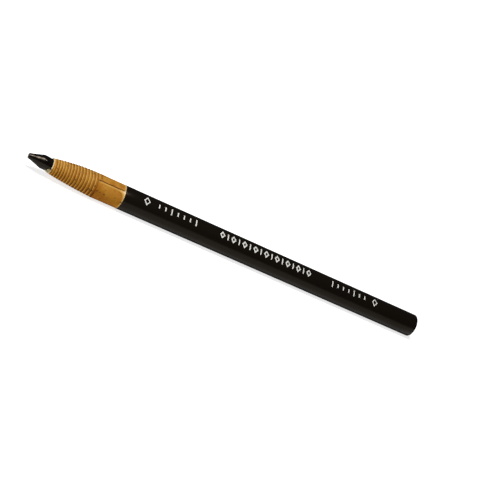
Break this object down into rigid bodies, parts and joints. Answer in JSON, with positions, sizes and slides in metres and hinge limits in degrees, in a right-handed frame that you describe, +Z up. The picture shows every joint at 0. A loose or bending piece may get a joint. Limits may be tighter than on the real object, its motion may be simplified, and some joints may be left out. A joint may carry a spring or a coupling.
{
  "type": "china marker",
  "caption": "Peel-off china marker: a wax core in scroll-wound kraft paper with a stepped cone at the writing tip, a pull string and a black coated-paper cover.",
  "frame": {"origin": "under the middle of the marker, on the surface it lies on", "axes": "+X along the marker from the writing tip to the rear end, +Z up"},
  "size_m": [0.1778, 0.0096, 0.0095],
  "materials": {
    "wax": "waxy, low sheen",
    "kraft": "uncoated kraft paper",
    "cover": "satin coated paper",
    "cotton": "twisted cotton thread"
  },
  "bodies": {
    "marker": {"wax_core": "wax", "cover": "cover", "roll_turn_01": "kraft", "roll_turn_02": "kraft", "roll_turn_03": "kraft", "roll_turn_04": "kraft", "roll_turn_05": "kraft", "roll_turn_06": "kraft", "roll_turn_07": "kraft", "roll_turn_08": "kraft", "roll_turn_09": "kraft", "roll_turn_10": "kraft", "roll_turn_11": "kraft", "roll_turn_12": "kraft", "roll_turn_13": "kraft", "roll_turn_14": "kraft", "roll_turn_15": "kraft", "roll_turn_16": "kraft", "roll_turn_17": "kraft"},
    "peel_band": {"band_turn_01": "kraft", "band_turn_02": "kraft", "band_turn_03": "kraft", "band_turn_04": "kraft", "band_turn_05": "kraft", "band_turn_06": "kraft", "band_turn_07": "kraft", "band_turn_08": "kraft", "band_turn_09": "kraft", "band_turn_10": "kraft", "band_turn_11": "kraft", "band_turn_12": "kraft", "band_turn_13": "kraft", "band_turn_14": "kraft", "band_turn_15": "kraft", "band_turn_16": "kraft", "band_turn_17": "kraft"},
    "string": {"pull_string": "cotton"}
  },
  "joints": [
    {"name": "band_peel", "type": "slide", "parent": "marker", "child": "peel_band", "axis": [-1, 0, 0], "range_m": [0, 0.04]},
    {"name": "string_pull", "type": "slide", "parent": "marker", "child": "string", "axis": [-1, 0, 0], "range_m": [0, 0.03]}
  ]
}
